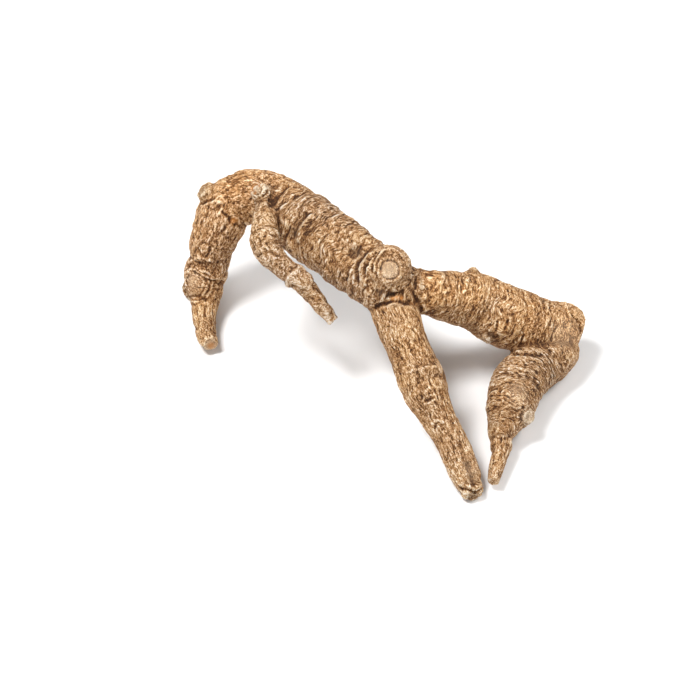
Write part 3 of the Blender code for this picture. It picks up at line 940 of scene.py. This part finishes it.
def spread_grain(patches, count):
    """Where each point lies in the finest wrinkles of the limb that covers it most."""
    grain_place = np.zeros((count, 3))
    strongest = np.zeros(count)
    for patch in patches:
        layer = FINE_WRINKLES.get(patch.limb.name, PLAIN_WRINKLES)[-1]
        stretched = stretch(patch.places, layer) + LIMB_STEP * patch.order
        wins = patch.share > strongest[patch.near]
        rows = np.flatnonzero(patch.near)[wins]
        grain_place[rows] = stretched[wins]
        strongest[rows] = patch.share[wins]
    return grain_place


store_number("furrow", furrow)
store_number("face", np.maximum(face, CALM_PALENESS * calm))
store_number("stain", stain)
store_number("painted_shade", painted_shade)
store_vector("tint", spread_tints(patches, count))
store_vector("grain_place", spread_grain(patches, count))
print("kept on the points:", ", ".join(kept.name for kept in root.data.attributes))

# %% Thin the mesh out where it is flat
MOST_TRIANGLES = 196000


def count_triangles(mesh):
    """How many triangles a mesh has, or would have once its polygons are split."""
    return sum(len(polygon.vertices) - 2 for polygon in mesh.polygons)


triangles = count_triangles(mesh)
thin = root.modifiers.new("thin", "DECIMATE")
thin.ratio = min(1.0, MOST_TRIANGLES / triangles)
bpy.ops.object.modifier_apply(modifier="thin")
root.data.shade_smooth()
print("triangles:", triangles, "thinned to", count_triangles(root.data))

# %% [markdown]
# ## The bark's finish
# The finish is dry and matt. Its colour runs from a cream crest over tan to a brown furrow; the brown is
# partly dirt and partly painted shade, and the cream partly a painted highlight. A colour ramp holds these
# colours in order, so one number, the light of the bark, chooses among them. Hairlines and a mottle too fine
# for the mesh are added to that number and as bump. Each limb's tint and patches that turn from grey to warm
# are multiplied over the colour; the tints also paint shade on the forearm and light on the elbow. Cut
# faces, stains and painted shade in the hollows are mixed in last. A painted image would do too, but these
# patterns follow every furrow and stay sharp from near.

# %% Small helpers for the material
def add_node(tree, kind, settings=None, **inputs):
    """Add a node, with its settings, and its inputs by name: a plain value, or a socket to link."""
    node = tree.nodes.new(kind)
    for name, value in (settings or {}).items():
        setattr(node, name, value)
    for name, value in inputs.items():
        socket = node.inputs[name.replace("_", " ")]
        if isinstance(value, bpy.types.NodeSocket):
            tree.links.new(value, socket)
        else:
            socket.default_value = value
    return node


def math_node(tree, operation, *values):
    """The result of a sum on two or three numbers, each a socket or a plain value."""
    node = tree.nodes.new("ShaderNodeMath")
    node.operation = operation
    for socket, value in zip(node.inputs, values):
        if isinstance(value, bpy.types.NodeSocket):
            tree.links.new(value, socket)
        else:
            socket.default_value = value
    return node.outputs[0]


def mix_colors(tree, amount, first, color):
    """A colour mixed with a plain one by an amount."""
    # The node's inputs 6 and 7 and its output 2 are the ones for colours.
    node = tree.nodes.new("ShaderNodeMix")
    node.data_type = "RGBA"
    tree.links.new(amount, node.inputs["Factor"])
    tree.links.new(first, node.inputs[6])
    node.inputs[7].default_value = color
    return node.outputs[2]


def multiply_colors(tree, first, second):
    """One colour times another."""
    node = tree.nodes.new("ShaderNodeVectorMath")
    node.operation = "MULTIPLY"
    tree.links.new(first, node.inputs[0])
    tree.links.new(second, node.inputs[1])
    return node.outputs[0]


def kept_value(tree, name, output):
    """A number or a vector that is kept on the skin's points."""
    return add_node(tree, "ShaderNodeAttribute", {"attribute_name": name}).outputs[output]


def noise_pattern(tree, place, scale, detail, roughness, distortion=0.0):
    """A noise from 0 to 1, with its details."""
    node = add_node(tree, "ShaderNodeTexNoise", Vector=place, Scale=scale, Detail=detail)
    node.inputs["Roughness"].default_value = roughness
    node.inputs["Distortion"].default_value = distortion
    return node.outputs["Fac"]


def map_range(tree, value, from_range, to_range):
    """A value moved from one range to another, and held at the ends."""
    node = add_node(tree, "ShaderNodeMapRange", Value=value, From_Min=from_range[0], From_Max=from_range[1])
    node.inputs["To Min"].default_value = to_range[0]
    node.inputs["To Max"].default_value = to_range[1]
    return node.outputs["Result"]


# %% The colours of the bark, from the deepest furrow to the brightest crest
# The dark end also paints the shade in the furrows, and the pale end a highlight on the crests.
BARK_COLORS = [
    (0.00, (0.052, 0.020, 0.006, 1.0)),
    (0.20, (0.150, 0.061, 0.018, 1.0)),
    (0.40, (0.365, 0.176, 0.065, 1.0)),
    (0.60, (0.570, 0.350, 0.168, 1.0)),
    (0.80, (0.790, 0.610, 0.395, 1.0)),
    (1.00, (0.970, 0.900, 0.780, 1.0)),
]


def color_ramp(tree, amount, colors):
    """Colours along a ramp, chosen by an amount."""
    ramp = add_node(tree, "ShaderNodeValToRGB", Fac=amount)
    stops = ramp.color_ramp.elements
    stops[0].position, stops[0].color = colors[0]
    stops[1].position, stops[1].color = colors[-1]
    for where, color in colors[1:-1]:
        stops.new(where).color = color
    return ramp.outputs["Color"]


print("colours in the bark's ramp:", len(BARK_COLORS))

# %% Hairlines
# Each net of hairlines: scale over the finest wrinkles, width, and the light that its lines add.
HAIRLINES = [
    (1.8, 0.09, 0.44),
    (1.0, 0.09, 0.28),
    (1.4, 0.05, -0.26),
    (0.35, 0.035, -0.20),
]


def hairlines(tree, place, scale, width):
    """Thin wandering lines: 1 on a line, 0 between, along the middle level of a noise."""
    net = noise_pattern(tree, place, scale, detail=2.0, roughness=0.6, distortion=0.4)
    from_middle = math_node(tree, "ABSOLUTE", math_node(tree, "SUBTRACT", net, 0.5))
    return map_range(tree, from_middle, (0.0, width), (1.0, 0.0))


def all_hairlines(tree, place):
    """Every net of hairlines: pale lines add light, and cracks take it away."""
    light = 0.0
    for scale, width, strength in HAIRLINES:
        net = hairlines(tree, place, scale, width)
        light = math_node(tree, "MULTIPLY_ADD", net, strength, light)
    return light


print("nets of hairlines:", len(HAIRLINES))

# %% The light of the bark
MOTTLE_LIGHT = 0.68
FURROW_SHADE_AND_DIRT = -0.42
MIDDLE_LIGHT = -0.16
FACE_LIGHT = 0.14
# The darkest and lightest large patches, and the range of the noise that they come from.
PATCH_LIGHT = (-0.09, 0.07)
PATCH_NOISE = (0.35, 0.65)


def bark_light(tree, place, lines, mottle):
    """How light the bark's colour is: darker in furrows, for dirt and painted shade, lighter on crests, for
    bleached bark and a painted highlight, and on hairlines and cut faces.
    """
    furrow = kept_value(tree, "furrow", "Fac")
    relief = math_node(tree, "MULTIPLY_ADD", furrow, FURROW_SHADE_AND_DIRT, MIDDLE_LIGHT)
    relief = math_node(tree, "ADD", relief, lines)
    light = math_node(tree, "MULTIPLY_ADD", mottle, MOTTLE_LIGHT, relief)
    large_patches = noise_pattern(tree, place, scale=110.0, detail=2.0, roughness=0.5)
    light = math_node(tree, "ADD", light, map_range(tree, large_patches, PATCH_NOISE, PATCH_LIGHT))
    return math_node(tree, "MULTIPLY_ADD", kept_value(tree, "face", "Fac"), FACE_LIGHT, light)


# %% The colour of the bark
HUES = [
    (0.38, (0.96, 0.97, 1.02, 1.0)),
    (0.62, (1.0, 0.94, 0.84, 1.0)),
]
# Colours that are mixed in where a number kept on the points says so: its name, colour and strength.
PLACED_COLORS = [
    ("face", (0.92, 0.81, 0.63, 1.0), 0.2),
    ("stain", (0.50, 0.19, 0.040, 1.0), 0.75),
    # Painted shade: a dark brown mixed into the colour where shade falls in the hollows.
    ("painted_shade", (0.075, 0.045, 0.026, 1.0), 0.42),
]


def bark_color(tree, place, light):
    """The bark's colour at its light, with its tint, its hue, and the colours of faces, stains and painted
    shade.
    """
    tint = kept_value(tree, "tint", "Vector")
    color = multiply_colors(tree, color_ramp(tree, light, BARK_COLORS), tint)
    patches_of_hue = noise_pattern(tree, place, scale=75.0, detail=4.0, roughness=0.6)
    color = multiply_colors(tree, color, color_ramp(tree, patches_of_hue, HUES))
    for name, placed_color, strength in PLACED_COLORS:
        amount = math_node(tree, "MULTIPLY", kept_value(tree, name, "Fac"), strength)
        color = mix_colors(tree, amount, color, placed_color)
    return color


# %% The bark material
BARK_ROUGHNESS = 0.8
BARK_SPECULAR = 0.3
BUMP_STRENGTH = 0.7
BUMP_DISTANCE = 0.2 * MM


def bark_material():
    """Dry, matt bark, with its hairlines and mottle in the colour and as bump."""
    material = bpy.data.materials.new("dry_bark")
    material.use_nodes = True
    tree = material.node_tree
    shader = tree.nodes["Principled BSDF"]
    place = tree.nodes.new("ShaderNodeTexCoord").outputs["Object"]
    lines = all_hairlines(tree, kept_value(tree, "grain_place", "Vector"))
    mottle = noise_pattern(tree, place, scale=2600.0, detail=2.0, roughness=0.7)
    color = bark_color(tree, place, bark_light(tree, place, lines, mottle))
    tree.links.new(color, shader.inputs["Base Color"])
    shader.inputs["Roughness"].default_value = BARK_ROUGHNESS
    shader.inputs["Specular IOR Level"].default_value = BARK_SPECULAR
    height = math_node(tree, "ADD", lines, mottle)
    bump = add_node(tree, "ShaderNodeBump", Strength=BUMP_STRENGTH, Distance=BUMP_DISTANCE, Height=height)
    tree.links.new(bump.outputs["Normal"], shader.inputs["Normal"])
    return material


root.data.materials.clear()
root.data.materials.append(bark_material())
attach(root, "root")
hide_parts("ginseng_root")
print("material nodes:", len(root.data.materials[0].node_tree.nodes))

# %% [markdown]
# ## Floor, light and camera
# The floor is plain and pale, and carries on out of sight. A backdrop could rise behind the root, but from
# this high up a flat floor fills the view. A key lamp up to the left gives soft shadows that fall to the
# right. A wide lamp on the right, one in front, and the pale surroundings fill them.

# %% Floor
FLOOR_SIZE = 6.0


def floor_material():
    """Plain, pale and matt."""
    material = bpy.data.materials.new("floor")
    material.use_nodes = True
    shader = material.node_tree.nodes["Principled BSDF"]
    shader.inputs["Base Color"].default_value = (0.88, 0.88, 0.88, 1.0)
    shader.inputs["Roughness"].default_value = 0.9
    return material


bpy.ops.mesh.primitive_plane_add(size=FLOOR_SIZE, location=(0.0, 0.0, 0.0))
floor = bpy.context.object
floor.name = "floor"
floor.data.materials.append(floor_material())
print("floor laid at z = 0")

# %% Lamps
LAMP_TARGET = (0.0, 0.0, 0.02)
# Each lamp: name, place, size and power.
LAMPS = [
    ("key", (-0.27, -0.06, 0.68), 0.22, 5.4),
    ("side", (0.50, 0.06, 0.58), 0.35, 3.2),
    ("front", (-0.10, -0.80, 0.60), 0.50, 2.4),
]


def turn_to(item, target):
    """Turn a lamp or the camera so that it faces a target."""
    item.rotation_euler = (Vector(target) - item.location).to_track_quat("-Z", "Y").to_euler()


def add_lamp(name, place, size, power):
    """A square lamp that faces the root."""
    bpy.ops.object.light_add(type="AREA", location=place)
    lamp = bpy.context.object
    lamp.name = name
    lamp.data.size = size
    lamp.data.energy = power
    turn_to(lamp, LAMP_TARGET)


for lamp_values in LAMPS:
    add_lamp(*lamp_values)

# %% Surroundings
WORLD_STRENGTH = 0.25

world = bpy.data.worlds.new("studio")
world.use_nodes = True
background = world.node_tree.nodes["Background"]
background.inputs["Color"].default_value = (1.0, 1.0, 1.0, 1.0)
background.inputs["Strength"].default_value = WORLD_STRENGTH
bpy.context.scene.world = world
bpy.context.scene.view_settings.view_transform = "Standard"
print("surroundings:", world.name)

# %% Camera
CAMERA_PLACE = (-0.0098, -0.6056, 0.58295)
CAMERA_TARGET = (-0.0098, 0.0130, 0.0)
LENS = 137.3
SENSOR_WIDTH = 36.0
SEES_AS_FAR_AS = 20.0

bpy.ops.object.camera_add(location=CAMERA_PLACE)
camera = bpy.context.object
camera.name = "camera"
camera.data.sensor_width = SENSOR_WIDTH
camera.data.lens = LENS
camera.data.clip_end = SEES_AS_FAR_AS
turn_to(camera, CAMERA_TARGET)
bpy.context.scene.camera = camera
print("camera distance:", round((Vector(CAMERA_PLACE) - Vector(CAMERA_TARGET)).length, 3), "m")
